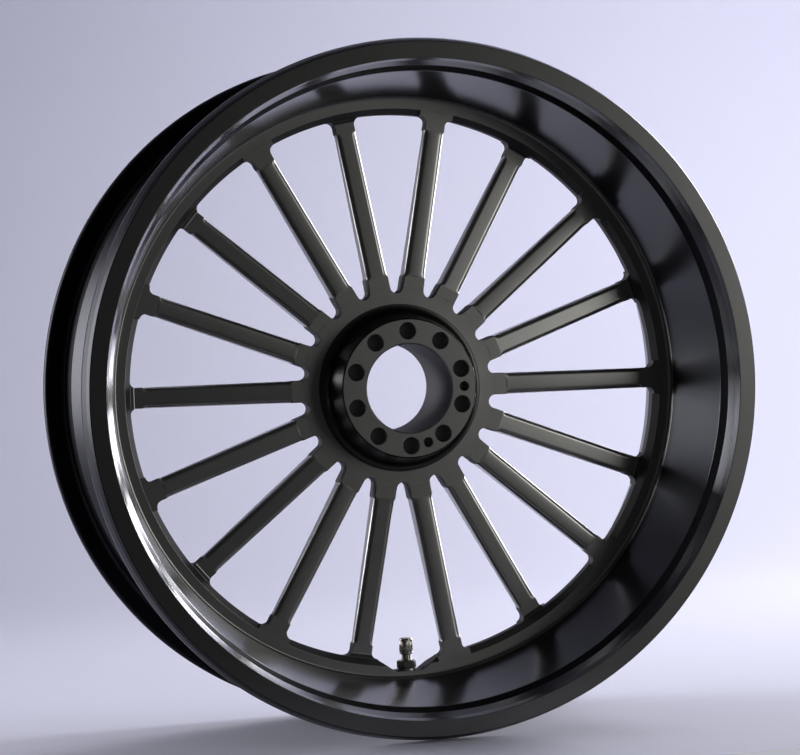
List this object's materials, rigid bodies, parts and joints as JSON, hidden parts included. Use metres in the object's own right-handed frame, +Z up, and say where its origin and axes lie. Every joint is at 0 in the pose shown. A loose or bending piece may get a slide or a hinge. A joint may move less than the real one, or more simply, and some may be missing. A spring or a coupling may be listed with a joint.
{
  "type": "forged wheel rim",
  "caption": "Forged racing wheel rim with staggered bevelled spokes, a plain-bored hub with blind holes, a deep barrel and a clamp-in tyre valve.",
  "frame": {"origin": "centre of the wheel, on its axis and midway between the outer faces of its two flanges", "axes": "Y is the wheel's axis and the outer side faces -Y; +Z is up, with the tyre valve at the bottom, and X completes the frame"},
  "size_m": [0.4646, 0.172, 0.4646],
  "materials": {
    "anodised_forging": "graphite anodised, satin machined faces",
    "anodised_barrel": "black anodised, polished bore of the barrel, satin flange face",
    "valve_metal": "nickel plated",
    "valve_washer_metal": "plain",
    "valve_nut_metal": "darkened",
    "core_brass": "turned",
    "spring_steel": "drawn wire",
    "cap_metal": "turned, nickel plated",
    "seal_rubber": "moulded"
  },
  "bodies": {
    "wheel": {"rim_front": "anodised_barrel", "rim_centre_ring": "anodised_forging", "rim_rear": "anodised_barrel", "hub": "anodised_forging", "front_spoke_1": "anodised_forging", "front_spoke_2": "anodised_forging", "front_spoke_3": "anodised_forging", "front_spoke_4": "anodised_forging", "front_spoke_5": "anodised_forging", "front_spoke_6": "anodised_forging", "front_spoke_7": "anodised_forging", "front_spoke_8": "anodised_forging", "front_spoke_9": "anodised_forging", "rear_spoke_1": "anodised_forging", "rear_spoke_2": "anodised_forging", "rear_spoke_3": "anodised_forging", "rear_spoke_4": "anodised_forging", "rear_spoke_5": "anodised_forging", "rear_spoke_6": "anodised_forging", "rear_spoke_7": "anodised_forging", "rear_spoke_8": "anodised_forging", "rear_spoke_9": "anodised_forging", "valve_stem": "valve_metal", "valve_foot_seal": "seal_rubber", "valve_washer": "valve_washer_metal", "valve_nut": "valve_nut_metal", "core_housing": "core_brass", "core_gasket": "seal_rubber", "core_spring": "spring_steel"},
    "core_plunger": {"core_pin": "core_brass", "core_plunger_seal": "seal_rubber"},
    "cap_lifter": {"cap_seal": "seal_rubber"},
    "cap": {"valve_cap": "cap_metal"}
  },
  "joints": [
    {"name": "core_press", "type": "slide", "parent": "wheel", "child": "core_plunger", "axis": [0, 0, -1], "range_m": [0, 0.0012], "stiffness_N_per_m": 1500, "springref_m": -0.002, "deforming": ["core_spring"]},
    {"name": "cap_lift", "type": "slide", "parent": "wheel", "child": "cap_lifter", "axis": [0, 0, 1], "range_m": [0, 0.00476]},
    {"name": "cap_turn", "type": "hinge", "parent": "cap_lifter", "child": "cap", "pos_m": [0, 0, -0.178], "axis": [0, 0, 1], "range_deg": [0, 2160]}
  ],
  "couplings": [
    {"joint": "cap_turn", "follows": "cap_lift", "rad_per_m": 7913.5}
  ]
}
